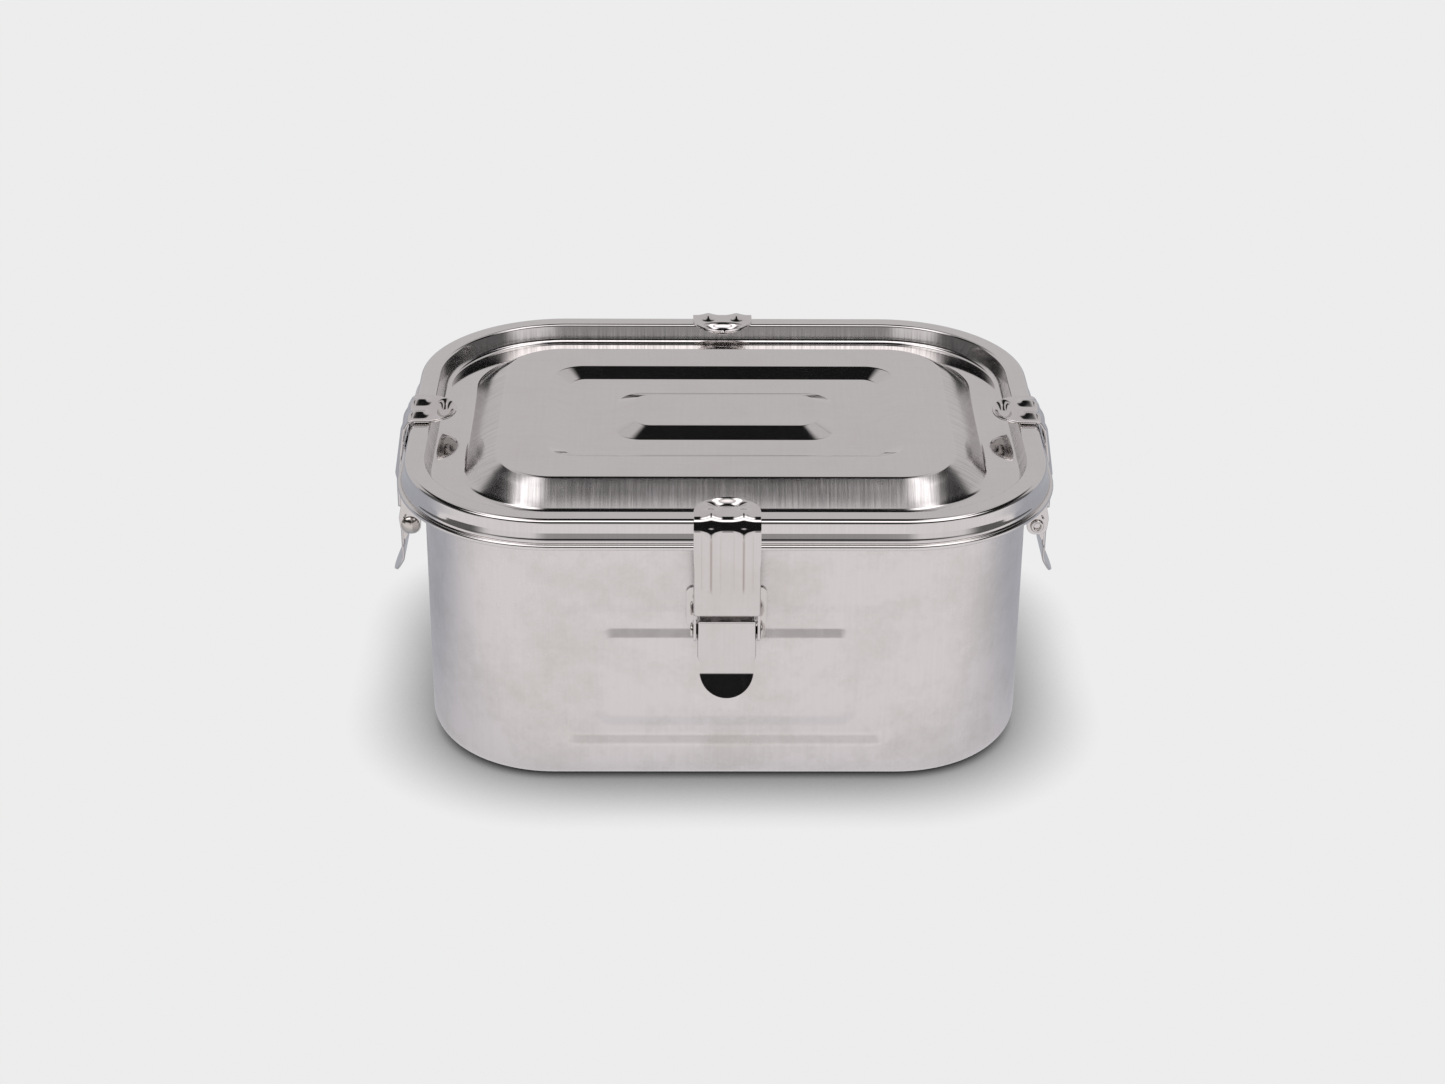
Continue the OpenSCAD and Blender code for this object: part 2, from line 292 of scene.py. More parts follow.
def soften(obj, width):
    """Rounds the sharp edges of a small piece."""
    m = obj.modifiers.new("edges", "BEVEL")
    m.width = width * MM
    m.segments = 3
    m.limit_method = "ANGLE"
    m.angle_limit = math.radians(35)
    m.harden_normals = True


# ---------- shader tools ----------

def node(tree, kind, **values):
    """A new node; values that start with in_ set its sockets, the others its properties."""
    n = tree.nodes.new(kind)
    for key, value in values.items():
        if key.startswith("in_"):
            n.inputs[key[3:].replace("_", " ")].default_value = value
        else:
            setattr(n, key, value)
    return n


def ramp(tree, source, stops):
    """Colours (or greys, given as one number) along the source's value."""
    r = tree.nodes.new("ShaderNodeValToRGB")
    tree.links.new(source, r.inputs["Fac"])
    while len(r.color_ramp.elements) > 1:
        r.color_ramp.elements.remove(r.color_ramp.elements[-1])
    for i, (at, value) in enumerate(stops):
        el = r.color_ramp.elements[0] if i == 0 else r.color_ramp.elements.new(at)
        el.position = at
        el.color = (*value, 1) if isinstance(value, tuple) else (value, value, value, 1)
    return r.outputs["Color"]


def calc(tree, operation, *inputs):
    """A Math node whose inputs are sockets or numbers."""
    n = tree.nodes.new("ShaderNodeMath")
    n.operation = operation
    for i, value in enumerate(inputs):
        if isinstance(value, (int, float)):
            n.inputs[i].default_value = value
        else:
            tree.links.new(value, n.inputs[i])
    return n.outputs[0]


def soft_step(tree, value, low, high):
    """0 at low, 1 at high, smooth between; low may be the larger."""
    n = tree.nodes.new("ShaderNodeMapRange")
    n.interpolation_type = "SMOOTHSTEP"
    tree.links.new(value, n.inputs["Value"])
    flip = low > high
    n.inputs["From Min"].default_value = min(low, high)
    n.inputs["From Max"].default_value = max(low, high)
    n.inputs["To Min"].default_value = 1.0 if flip else 0.0
    n.inputs["To Max"].default_value = 0.0 if flip else 1.0
    return n.outputs["Result"]


def blend(tree, kind, factor, a, b):
    mix = node(tree, "ShaderNodeMix", data_type="RGBA", blend_type=kind)
    if isinstance(factor, float):
        mix.inputs["Factor"].default_value = factor
    else:
        tree.links.new(factor, mix.inputs["Factor"])
    tree.links.new(a, mix.inputs[6])             # the colour sockets share their names with others
    tree.links.new(b, mix.inputs[7])
    return mix.outputs[2]


def noise(tree, scale, detail, roughness, stretch=(1, 1, 1), turn=(0, 0, 0)):
    """Noise fixed to the piece: scale times stretch is its number of waves in a metre."""
    mapping = node(tree, "ShaderNodeMapping", in_Scale=stretch, in_Rotation=turn)
    tree.links.new(node(tree, "ShaderNodeTexCoord").outputs["Object"], mapping.inputs["Vector"])
    n = node(tree, "ShaderNodeTexNoise", in_Scale=scale, in_Detail=detail, in_Roughness=roughness)
    tree.links.new(mapping.outputs["Vector"], n.inputs["Vector"])
    return n.outputs["Fac"]


def bump(tree, height, strength, distance, below=None):
    """A Bump node's normal; strength is a number or a socket, below the normal it starts from."""
    n = node(tree, "ShaderNodeBump", in_Distance=distance)
    if isinstance(strength, float):
        n.inputs["Strength"].default_value = strength
    else:
        tree.links.new(strength, n.inputs["Strength"])
    tree.links.new(height, n.inputs["Height"])
    if below is not None:
        tree.links.new(below, n.inputs["Normal"])
    return n.outputs["Normal"]


def new_material(name):
    mat = bpy.data.materials.new(name)
    mat.use_nodes = True
    return mat, mat.node_tree, mat.node_tree.nodes["Principled BSDF"]


# ---------- materials ----------

LINE_WAVES, LINE_LENGTHS = 1400, 40              # brush lines: waves in a metre across and along them
LINE_DEPTH = 0.26                                # how much darker a full brush line is
CREASE_SHADE_TINT = (1.0, 0.93, 0.86)                    # the painted shade on the hooks' ridge crests is a little brown


def horizontal_tangent(tree):
    """Direction along the sheet and level with the table, which is across the brush lines."""
    normal = node(tree, "ShaderNodeNewGeometry").outputs["True Normal"]
    cross = node(tree, "ShaderNodeVectorMath", operation="CROSS_PRODUCT")
    tree.links.new(normal, cross.inputs[0])
    cross.inputs[1].default_value = (0, 0, 1)
    sum_node = node(tree, "ShaderNodeVectorMath", operation="ADD")
    tree.links.new(cross.outputs[0], sum_node.inputs[0])
    sum_node.inputs[1].default_value = (0.06, 0, 0)              # so that flats have a direction too
    return sum_node.outputs[0]


def sideways_weight(tree):
    """0 where the sheet faces front or back, 1 where it faces left or right."""
    normal = node(tree, "ShaderNodeNewGeometry").outputs["True Normal"]
    split = node(tree, "ShaderNodeSeparateXYZ")
    tree.links.new(normal, split.inputs[0])
    across = calc(tree, "ABSOLUTE", split.outputs[0])
    along = calc(tree, "ABSOLUTE", split.outputs[1])
    return soft_step(tree, calc(tree, "SUBTRACT", across, along), -0.1, 0.1)


def brush_lines(tree):
    """Fine streaks that run up the slopes and walls, whichever way they face."""
    facing_front = noise(tree, 1, 3, 0.6, (LINE_WAVES, LINE_LENGTHS, LINE_LENGTHS))
    facing_side = noise(tree, 1, 3, 0.6, (LINE_LENGTHS, LINE_WAVES, LINE_LENGTHS))
    return blend(tree, "MIX", sideways_weight(tree), facing_front, facing_side)


def steel_roughness(tree, finish_and_shade, rough, smudge, rough_finish):
    """Patches and finger marks, duller by smudge, fine scratches, and what the finish adds."""
    patches = noise(tree, 24, 5, 0.62)
    fingers = noise(tree, 75, 3, 0.55, (1, 1.4, 1), (0.3, 0.2, 0.5))
    scratches = noise(tree, 1, 2, 0.5, (900, 60, 35), (0.5, 0.3, 0.7))
    layers = [ramp(tree, scratches, [(0.62, 0.0), (0.72, 0.025)]),
              ramp(tree, fingers, [(0.55, 0.0), (0.68, smudge * 0.6)]),
              ramp(tree, finish_and_shade, [(0.0, 0.0), (1.0, rough_finish)])]
    total = ramp(tree, patches, [(0.42, rough), (0.62, rough + smudge)])
    for layer in layers:
        total = blend(tree, "ADD", 1.0, total, layer)
    return total


def steel_colour(tree, finish_and_shade, streaks, colour, dull, lines, rough_finish, crease_shade):
    """Stains between the two colours, darkened by the brush lines and, where the mesh's per-point number is
    1, by a painted shade.
    """
    stains = ramp(tree, noise(tree, 46, 6, 0.72), [(0.44, colour), (0.66, dull)])
    depth = calc(tree, "MULTIPLY_ADD", finish_and_shade, LINE_DEPTH if rough_finish else 0.0, lines)
    place = ramp(tree, streaks, [(0.36, 1.0), (0.64, 0.0)])
    shade = calc(tree, "SUBTRACT", 1.0, calc(tree, "MULTIPLY", place, depth))
    marks = blend(tree, "MULTIPLY", 1.0, stains, shade)
    # painted shade: where the per-point number is 1, the colour darkens to this brownish tint (only for steel
    # whose shade factor is below 1)
    tint = tuple(crease_shade * t for t in CREASE_SHADE_TINT) if crease_shade < 1 else 1.0
    return blend(tree, "MULTIPLY", 1.0, marks, ramp(tree, finish_and_shade, [(0.0, 1.0), (1.0, tint)]))


def steel(name, colour, dull, rough, smudge, lines, dents, brushed=0.0, rough_finish=0.0, crease_shade=1.0):
    """Polished sheet: brush lines that spread reflections sideways, finger smudges, stains, fine
    scratches and a slow waviness of the sheet. Where a mesh's per-point number is 1, rough_finish is added to
    the roughness, the brush lines show fully and the colour is multiplied by the last factor, tinted a little
    brown: a painted shade that darkens the ridge crests of the clasps' hooks."""
    mat, tree, bsdf = new_material(name)
    bsdf.inputs["Metallic"].default_value = 1.0
    bsdf.inputs["Anisotropic"].default_value = brushed
    if brushed:
        tree.links.new(horizontal_tangent(tree), bsdf.inputs["Tangent"])
    streaks = brush_lines(tree)
    # per-point number: brushed finish on the lid, painted shade on the hooks' ridge crests
    finish_and_shade = node(tree, "ShaderNodeAttribute", attribute_name="finish_and_shade").outputs["Fac"]
    tree.links.new(steel_roughness(tree, finish_and_shade, rough, smudge, rough_finish), bsdf.inputs["Roughness"])
    tree.links.new(steel_colour(tree, finish_and_shade, streaks, colour, dull, lines, rough_finish, crease_shade),
                   bsdf.inputs["Base Color"])
    slow = bump(tree, noise(tree, 22, 1, 0.4), 1.0, dents)
    strength = calc(tree, "MULTIPLY_ADD", finish_and_shade, 0.9, 0.03) if rough_finish else lines * 3
    tree.links.new(bump(tree, streaks, strength, 0.00001, slow), bsdf.inputs["Normal"])
    return mat


def silicone_material():
    mat, tree, bsdf = new_material("seal_silicone")
    bsdf.inputs["IOR"].default_value = 1.41
    grain = noise(tree, 420.0, 3.0, 0.5)
    tree.links.new(ramp(tree, grain, [(0.3, (0.86, 0.86, 0.84)), (0.7, (0.90, 0.90, 0.88))]),
                   bsdf.inputs["Base Color"])
    tree.links.new(ramp(tree, grain, [(0.3, 0.42), (0.7, 0.55)]), bsdf.inputs["Roughness"])
    tree.links.new(bump(tree, grain, 0.25, 0.0001), bsdf.inputs["Normal"])
    return mat


LID_STEEL = steel("lid_steel", colour=(0.735, 0.72, 0.715), dull=(0.715, 0.70, 0.69), rough=0.05,
                  smudge=0.02, lines=0.03, dents=0.00002, brushed=0.9, rough_finish=0.10)
TUB_STEEL = steel("tub_steel", colour=(0.755, 0.73, 0.73), dull=(0.67, 0.65, 0.635), rough=0.20,
                  smudge=0.06, lines=0.02, dents=0.00008, brushed=0.7)
# the clasp steel darkens its hooks' ridge crests to a brownish tone, a painted shade standing in for the
# darker reflection of a pressed crease
CLASP_STEEL = steel("clasp_steel", colour=(0.71, 0.69, 0.685), dull=(0.665, 0.645, 0.63), rough=0.06,
                    smudge=0.04, lines=0.02, dents=0.00003, crease_shade=0.62)
RIVET_STEEL = steel("rivet_steel", colour=(0.72, 0.70, 0.68), dull=(0.62, 0.58, 0.53), rough=0.11,
                    smudge=0.06, lines=0.02, dents=0.00002)
SILICONE = silicone_material()


# ---------- tub ----------

BASE_R = 12.0                                    # between the base and the walls
BASE_FLAT = 12.0                                 # outer part of the flat base that has its own ring of faces
RIM_TURN, RIM_OUT, RIM_CURL, RIM_DROP = 3.3, 4.5, 1.2, 2.9
FACE_STEP = 0.5                                  # between faces on the flat walls
PANEL_D = 1.1                                    # depth of the pressed recess
PANEL_LONG, PANEL_SHORT = 53.0, 28.0             # half width of the recess on the long and short walls
RECESS_LOW, RECESS_HIGH, RECESS_R, RECESS_SLOPE = 12.5, 62.8, 7.0, 3.9
MIDDLE_LOW, MIDDLE_HIGH, MIDDLE_R, MIDDLE_SLOPE = 19.5, 53.9, 6.0, 3.5
MIDDLE_IN = 12.3                                 # raised middle inside the recess's side edges
LOZENGE_D, LOZENGE_PART, LOZENGE_Z, LOZENGE_HALF = 0.35, 0.64, 36.6, 9.9
PANEL_TOP = 64.5                                 # the wall is plain above this


def rounded_box_distance(w, z, half_w, low, high, r):
    """Signed distance to a rounded rectangle on the wall, negative inside."""
    qx = np.abs(w) - (half_w - r)
    qz = np.abs(z - (low + high) / 2) - ((high - low) / 2 - r)
    outside = np.hypot(np.maximum(qx, 0), np.maximum(qz, 0))
    return outside + np.minimum(np.maximum(qx, qz), 0) - r


def panel_depth(w, z, half):
    """Depth of the pressed panel at a point of a side wall: a recess, a raised middle, a flat lozenge."""
    inner = half - MIDDLE_IN
    to_recess = rounded_box_distance(w, z, half, RECESS_LOW, RECESS_HIGH, RECESS_R)
    to_middle = rounded_box_distance(w, z, inner, MIDDLE_LOW, MIDDLE_HIGH, MIDDLE_R)
    recess = 1 - even_step(-RECESS_SLOPE, 0.1, to_recess)
    middle = 1 - even_step(-MIDDLE_SLOPE, 0.1, to_middle)
    rhombus = np.abs(w) / (inner * LOZENGE_PART) + np.abs(z - LOZENGE_Z) / LOZENGE_HALF
    return PANEL_D * (recess - middle) + LOZENGE_D * (1 - smoothstep(0.70, 1.12, rhombus))


def tub_section():
    """The tub's line (out from the wall, up) from the base to the end of the rolled rim."""
    bends = fillet_path([
        (-BASE_R - BASE_FLAT, 0, 0), (-BASE_R - 1.5, 0, 0), (0, 0, BASE_R), (0, RIM_TOP, RIM_TURN),
        (RIM_OUT, RIM_TOP, RIM_CURL), (RIM_OUT, RIM_TOP - RIM_DROP, 0)])
    base = [p for p in bends if p[1] < BASE_R - 0.1]
    wall = [np.array([0.0, z]) for z in np.arange(BASE_R, PANEL_TOP, FACE_STEP)]
    rim = [p for p in bends if p[1] > PANEL_TOP]
    return base + wall + rim


def tub_shape():
    along_x = places_along(2 * int((TUB_X - TUB_R) / FACE_STEP) + 1)
    along_y = places_along(2 * int((TUB_Y - TUB_R) / FACE_STEP) + 1)
    rings = []
    for u, z in tub_section():
        pts = np.array(ring(TUB_X + u, TUB_Y + u, TUB_R + u, z, along_x, along_y))
        if abs(u) < 1e-6:
            for axis, wall, half in ((1, TUB_Y, PANEL_LONG), (0, TUB_X, PANEL_SHORT)):
                flat = np.isclose(np.abs(pts[:, axis]), wall)
                depth = panel_depth(pts[:, 1 - axis], pts[:, 2], half)
                pts[flat, axis] -= np.sign(pts[flat, axis]) * depth[flat]
        rings.append([tuple(p) for p in pts])
    return loft(rings, close_first=True)


# ---------- lid ----------

GUTTER_Z = RIM_Z - 6.0
PLATEAU_Z = RIM_Z + PLATEAU_UP
RECESS_D = 2.2                                   # the plateau's recess
RECESS_Z = PLATEAU_Z - RECESS_D
FOOT_U, TOP_U = -18.35, -28.6                    # foot and top of the plateau's slope, from the flange's edge
SLOPE_STEPS, SLOPE_BULGE = 10, 1.2
LID_RECESS = (56.0, 34.7, 9.5)                   # half length, half width and corner radius of its edge
LID_PANEL = (35.0, 17.8, 8.5)                    # the same for the raised panel in the recess
SMALLEST_R = 1.5                                 # of the rings' corners
BEAD_R, BEAD_DOWN = 1.0, 8.2                     # the bead's radius, and its centre below the flange
LID_ALONG_X, LID_ALONG_Y = places_along(15), places_along(11)


def plateau_slope():
    """Points up the slope from the gutter to the plateau, steeper at the foot."""
    slope = []
    for i in range(1, SLOPE_STEPS):
        t = i / SLOPE_STEPS
        rise = 1 - (1 - t) ** SLOPE_BULGE
        slope.append((FOOT_U + (TOP_U - FOOT_U) * t, GUTTER_Z + (PLATEAU_Z - GUTTER_Z) * rise, 0))
    return slope


def lid_section():
    """The lid's line (out from the flange's edge, up) from the skirt's lower edge to the plateau."""
    slope = plateau_slope()
    skirt = [(1.35, RIM_Z - 7.35, 0), (0.62, RIM_Z - 5.7, 3.0), (0.05, RIM_Z - 3.9, 4.0), (0, RIM_Z, 1.5)]
    gutter = [(-6.3, RIM_Z, 0.9), (-8.2, GUTTER_Z, 2.0), (FOOT_U, GUTTER_Z, 2.6)]
    outer = fillet_path(skirt + gutter + slope[1:2], 6)
    upper = fillet_path(slope[-3:-2] + [(TOP_U, PLATEAU_Z, 2.2), (-30.5, PLATEAU_Z, 0)], 6)
    return list(outer) + [np.array(p[:2]) for p in slope[2:-3]] + list(upper)


def lid_shape():
    """The lid's outer skin. The corner radius changes by spread for each millimetre inward."""
    def rings(base, path, spread=1.0):
        bx, by, br = base
        return [ring(bx + u, by + u, max(SMALLEST_R, br + u * spread), z, LID_ALONG_X, LID_ALONG_Y)
                for u, z in path]

    def step(start, end, width, r):
        """A section from one level to the other, with a little of each flat."""
        return fillet_path([(2.0, start, 0), (0, start, r), (-width, end, r), (-7.8, end, 0)], 4)

    found = rings((HX, HY, LID_R), lid_section())
    found += rings(LID_RECESS, step(PLATEAU_Z, RECESS_Z, 5.6, 1.8), 0.8)
    found += rings(LID_PANEL, step(RECESS_Z, PLATEAU_Z, 6.0, 1.6), 0.5)
    return loft(found, close_last=True)


def lid_finish(points):
    """1 on the brushed slopes of the gutter, 0 on the polished flats."""
    xyz = np.array(points)
    qx, qy = np.abs(xyz[:, 0]) - (HX - LID_R), np.abs(xyz[:, 1]) - (HY - LID_R)
    u = np.hypot(np.maximum(qx, 0), np.maximum(qy, 0)) + np.minimum(np.maximum(qx, qy), 0) - LID_R
    plateau = smoothstep(-28.5, -27.6, u) * smoothstep(-18.8, -19.8, u)
    plateau *= 0.55 + 0.45 * smoothstep(-10.0, 4.0, qy - qx)     # brushed most along the long sides
    outer = smoothstep(-8.4, -8.0, u) * smoothstep(-6.4, -6.9, u)
    floor = smoothstep(-16.8, -15.6, u) * smoothstep(-9.6, -10.8, u)
    return plateau + outer + 0.35 * floor


def bead_shape():
    """The curled lower edge of the lid's skirt, a closed ring of round section."""
    middle, z = BEAD_OUT - BEAD_R, RIM_Z - BEAD_DOWN
    rings = []
    for t in np.linspace(0, 2 * math.pi, 17)[:-1]:
        u = middle + BEAD_R * math.cos(t)
        rings.append(ring(HX + u, HY + u, LID_R + u, z + BEAD_R * math.sin(t), LID_ALONG_X, LID_ALONG_Y))
    return loft(rings + rings[:1])


def gasket_shape():
    """Sealing ring of rounded section, under the flange."""
    low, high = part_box("gasket")
    z0, z1 = low.z / MM, high.z / MM
    u0, u1, r = -4.6, -2.0, 0.5
    start = ((u0 + u1) / 2, z0, 0)
    section = fillet_path([start, (u1, z0, r), (u1, z1, r), (u0, z1, r), (u0, z0, r), start], 18, 0.1)
    along = places_along(9)
    return loft([ring(HX + u, HY + u, LID_R + u, z, along, along, 22) for u, z in section])


# ---------- clasp pieces, in the clasp's own frame ----------

PIVOT = (0.8, 66.0)                              # the lever's pin in the bracket (outward, up)
RIVET = (1.5, 58.0)                              # the hook's rivet in the lever
PIN_R = 1.5
HOOK_HALF = 10.05                                # half width
HOOK_FOOT, HOOK_FACE = 64.6, 5.3                 # the hook's lower end, and its face's place outward
HOOK_REACH = 13.8                                # in over the lid
HOOK_TOP = RIM_Z + 0.3 + SHEET
LEAN_Z = RIM_Z - 20                              # the hook leans in above this
LEAN = math.radians(9)
SHOULDER_DOWN, SHOULDER_IN = 3.3, 1.9            # the facet between the hook's face and top
RIDGE_X, RIDGE_HALF, RIDGE_UP = 4.85, 3.9, 0.9   # two pressed ridges: place, half width, height
CREST_HALF, CREST_PART, CREST_SOFT = 1.5, 0.25, 0.006
DIMPLE_D, DIMPLE_O, DIMPLE_HALF = 1.7, -10.0, 7.6
LEVER_HALF = 8.9
LEVER_OUT, LEVER_TOP, LEVER_CREASE = 4.9, 62.7, 44.8
LEVER_TIP, LEVER_TIP_R = (8.4, 38.0), 8.0
EDGE_SOFT = 0.2                                  # rounding of the plates' edges


def face_at(z):
    """Outward place of the hook's face: upright at first, leaning in above LEAN_Z."""
    return HOOK_FACE - max(0.0, z - LEAN_Z) * math.tan(LEAN)


def hook_ridges(w, o, z):
    """Height of the two ridges: full on the face, low round the bend, gone before the dimple."""
    side = np.abs(np.abs(w) - RIDGE_X)
    crest = np.maximum(0, 1 - np.sqrt((side / CREST_HALF) ** 2 + CREST_SOFT))
    swell = 0.5 + 0.5 * np.cos(math.pi * np.minimum(side / RIDGE_HALF, 1))
    run = smoothstep(71.0, 74.5, z) * smoothstep(-6.8, -3.0, o)
    bend = smoothstep(RIM_Z - 4.4, RIM_Z - 0.8, z)
    run *= 1 - 0.75 * bend * smoothstep(-1.5, 2.0, o)
    return RIDGE_UP * run * (CREST_PART * crest / (1 - math.sqrt(CREST_SOFT)) + (1 - CREST_PART) * swell)


def hook_dimple(w, o):
    """The bowl in the hook's top, steeper on its outer side."""
    reach = 4.0 if o < DIMPLE_O else 3.0
    return DIMPLE_D * (1 - smoothstep(0.3, 1.0, np.hypot(w / DIMPLE_HALF, (o - DIMPLE_O) / reach)))


def hook_shape():
    shoulder = HOOK_TOP - SHOULDER_DOWN
    path = tapered_end(dense(fillet_path([
        (HOOK_FACE, HOOK_FOOT, 0), (HOOK_FACE, LEAN_Z, 14), (face_at(shoulder), shoulder, 3.5),
        (face_at(shoulder) - SHOULDER_IN, HOOK_TOP, 2.4), (-HOOK_REACH, HOOK_TOP, 0)], 5), 0.6))
    halves = [tip_half_width(o + HOOK_REACH, HOOK_HALF, HOOK_HALF) if z > RIM_Z else HOOK_HALF
              for o, z in path]

    def lift(w, o, z):
        edge = edge_round(w, HOOK_HALF, 1.0) * smoothstep(83, 79, z)
        return hook_ridges(w, o, z) - edge - (hook_dimple(w, o) if z > RIM_Z else 0)

    return strip(path, halves, 73, lift)


def hook_crease_shade(points):
    """1 along the crests of the two ridges on the hook's face, with a faint line on each side: where the
    clasp steel paints a darker, brownish shade in place of a crease's darker reflection.
    """
    def mark(x, o, z):
        if o <= 0:
            return 0.0
        side = abs(abs(x) - RIDGE_X)
        line = max(0, 1 - side / 0.45) + 0.22 * max(0, 1 - abs(side - 2.8) / 0.3)
        return line * smoothstep(71.5, 75, z) * smoothstep(RIM_Z - 2, RIM_Z - 6, z)

    return [mark(*p) for p in points]


def hook_cheeks():
    """The hook's folded sides, which hold the rivet."""
    fold = HOOK_FACE - 0.9
    outline = closed_path([
        (face_at(79.6) - 0.9, 79.6, 0.3), (fold, LEAN_Z - 1, 5), (fold, HOOK_FOOT, 0.3),
        (HOOK_FACE - 0.1, 60.5, 2), (4.6, 54.8, 2.6), (-1.6, 54.8, 3.0), (-2.2, 62.5, 2.0), (2.6, 74.0, 6.0)])
    return plate_pair(outline, HOOK_HALF - SHEET, HOOK_HALF)


def lever_shape():
    path = tapered_end(dense(fillet_path([
        (LEVER_OUT - 2.2, LEVER_TOP + 0.65, 0), (LEVER_OUT, LEVER_TOP - 0.5, 0.4),
        (LEVER_OUT, LEVER_CREASE, 1.6), (*LEVER_TIP, 0)], 4), 0.6))
    length = np.concatenate([[0], np.cumsum(np.linalg.norm(np.diff(path, axis=0), axis=1))])
    halves = [tip_half_width(length[-1] - s, LEVER_TIP_R, LEVER_HALF - 0.6 * smoothstep(50.2, 49.2, z))
              for s, (_, z) in zip(length, path)]

    def lift(w, _, z):
        return -edge_round(w, LEVER_HALF, 0.9) * smoothstep(LEVER_CREASE + 3, LEVER_CREASE + 6, z)

    return strip(path[::-1], halves[::-1], 41, lift)


def lever_cheeks():
    """The lever's folded sides, between the pivot pin and the rivet."""
    fold = LEVER_OUT - 0.8
    outline = closed_path([
        (fold, 62.6, 0.3), (fold, 50.4, 0.5), (1.9, 55.2, 1.0), (-1.1, 55.4, 2.4),
        (-1.9, 66.0, 2.0), (-1.7, 68.6, 2.4), (3.3, 68.6, 2.4), (3.3, 64.5, 1.0)])
    return plate_pair(outline, LEVER_HALF - SHEET, LEVER_HALF)


def bracket_base():
    """The plate on the tub's wall, welded there."""
    low, high, half, r = 55.3, 68.9, 12.3, 2
    outline = closed_path([(-half, low, r), (half, low, r), (half, high, r), (-half, high, r)])
    return prism(outline, -WALL_IN, -WALL_IN + SHEET, axis=1)


def bracket_ears():
    """The two lugs that hold the pivot pin."""
    foot = -WALL_IN + SHEET - 0.3
    outline = closed_path([
        (foot, 61.0, 0.2), (0.0, 63.3, 1.5), (3.2, 63.6, 2.3), (3.2, 68.4, 2.3), (0.0, 68.6, 1.5),
        (foot, 68.5, 0.2)])
    return plate_pair(outline, 7.1, 7.9)


def rivet_shape():
    """A domed head on the clasp's right as seen from outside, and a hollow, rolled-over end on its left."""
    seat = HOOK_HALF + 0.25
    head_r, head_h, bore_r = 3.0, 1.4, 1.0
    ball = (head_r ** 2 + head_h ** 2) / (2 * head_h)
    dome = []
    for k in range(13):
        a = math.asin(head_r / ball) * k / 12
        dome.append((-seat - head_h + ball - ball * math.cos(a), max(0.01, ball * math.sin(a))))
    shank = [(-seat, head_r - 0.05), (-seat, PIN_R), (seat, PIN_R)]
    rolled = [(seat, 2.1), (seat + 0.25, 2.2), (seat + 0.6, 2.0), (seat + 0.7, 1.7), (seat + 0.62, 1.35),
              (seat + 0.3, bore_r + 0.05), (seat - 3, bore_r), (seat - 3, 0.01)]
    return lathe(dome + shank + rolled, *RIVET)


def pivot_pin_shape():
    half, r = LEVER_HALF + 0.15, PIN_R
    end = [(half, 0.01), (half, r - 0.3), (half - 0.1, r - 0.1), (half - 0.3, r)]
    return lathe([(-x, y) for x, y in end] + end[::-1], *PIVOT)


# ---------- building ----------

def make_box():
    tub = mesh_piece("tub_shell", tub_shape(), "tub", ["tub"], TUB_STEEL)
    thicken(tub)
    shape = lid_shape()
    lid = mesh_piece("lid_shell", shape, "lid", ["lid"], LID_STEEL,
                     finish_and_shade=lid_finish(shape[0]))
    thicken(lid)
    mesh_piece("lid_bead", bead_shape(), "lid", [], LID_STEEL, closed=True)
    mesh_piece("lid_gasket", gasket_shape(), "lid", ["gasket"], SILICONE, closed=True)


def make_clasp(side, turn, half):
    """One clasp: turn is the angle from the back side, half the flange's half size there."""
    place = Matrix.Rotation(math.radians(turn), 4, "Z") @ Matrix.Translation((0, half * MM, 0))
    lever, hook = f"{side}_lever", f"{side}_hook"

    def piece(part, shape, body, nodes, material=CLASP_STEEL, closed=True, finish_and_shade=None):
        return mesh_piece(f"{side}_{part}", shape, body, nodes, material, place, closed, finish_and_shade)

    shape = hook_shape()
    # the hook's ridge crests get a painted shade through the per-point number
    thicken(piece("hook_plate", shape, hook, [hook], closed=False, finish_and_shade=hook_crease_shade(shape[0])))
    soften(piece("hook_cheeks", hook_cheeks(), hook, []), EDGE_SOFT)
    thicken(piece("lever_face", lever_shape(), lever, [lever], closed=False))
    soften(piece("lever_cheeks", lever_cheeks(), lever, []), EDGE_SOFT)
    soften(piece("bracket_base", bracket_base(), "tub", [f"{side}_bracket"]), EDGE_SOFT)
    soften(piece("bracket_ears", bracket_ears(), "tub", []), 0.15)
    piece("rivet_body", rivet_shape(), lever, [f"{side}_rivet"], RIVET_STEEL)
    piece("pin_body", pivot_pin_shape(), "tub", [f"{side}_pivot_pin"], RIVET_STEEL)


# ---------- studio ----------

SOFT_LIGHT = 1.0                                 # even light on everything that isn't a mirror
TINT = (1.0, 0.957, 0.965)                       # colour of the room, as the steel sees it
PAPER_LIGHT = 0.845                              # the floor
PAPER_BEHIND = (0.44, 0.45, 0.49)                # the floor beside and behind the box, as the steel sees it
FLOOR_HALF = 6.0                                 # metres
SHADOW_REACH = 0.030                             # metres
BACK_LIGHT = 0.62                                # the wall behind, seen in the steel
FRONT_LIGHT, FRONT_SIDE = 0.34, 0.80             # the wall in front: its middle and its sides
SIDE_GAP = 0.85                                  # how much darker the room is to the left and right
BACK_HIGH, FRONT_HIGH = 0.72, 0.27               # how high the walls reach, as rise over run
DARK_LIGHT = 0.010                               # the ceiling
BOX_LIGHT = 1.9                                  # softboxes
GLOW = 0.32                                      # the ceiling behind the softboxes, as a part of BOX_LIGHT
# rectangles of the ceiling at height 1: inner and outer edge on both sides, near, far, softness of the edge
PAIR_BOX = (0.17, 0.54, -0.14, 0.30, 0.08)
FRONT_STRIP = (0, 1.2, -0.85, -0.22, 0.18)
GLOW_BOX = (0.20, 0.58, 0.22, 4.0, 0.08)


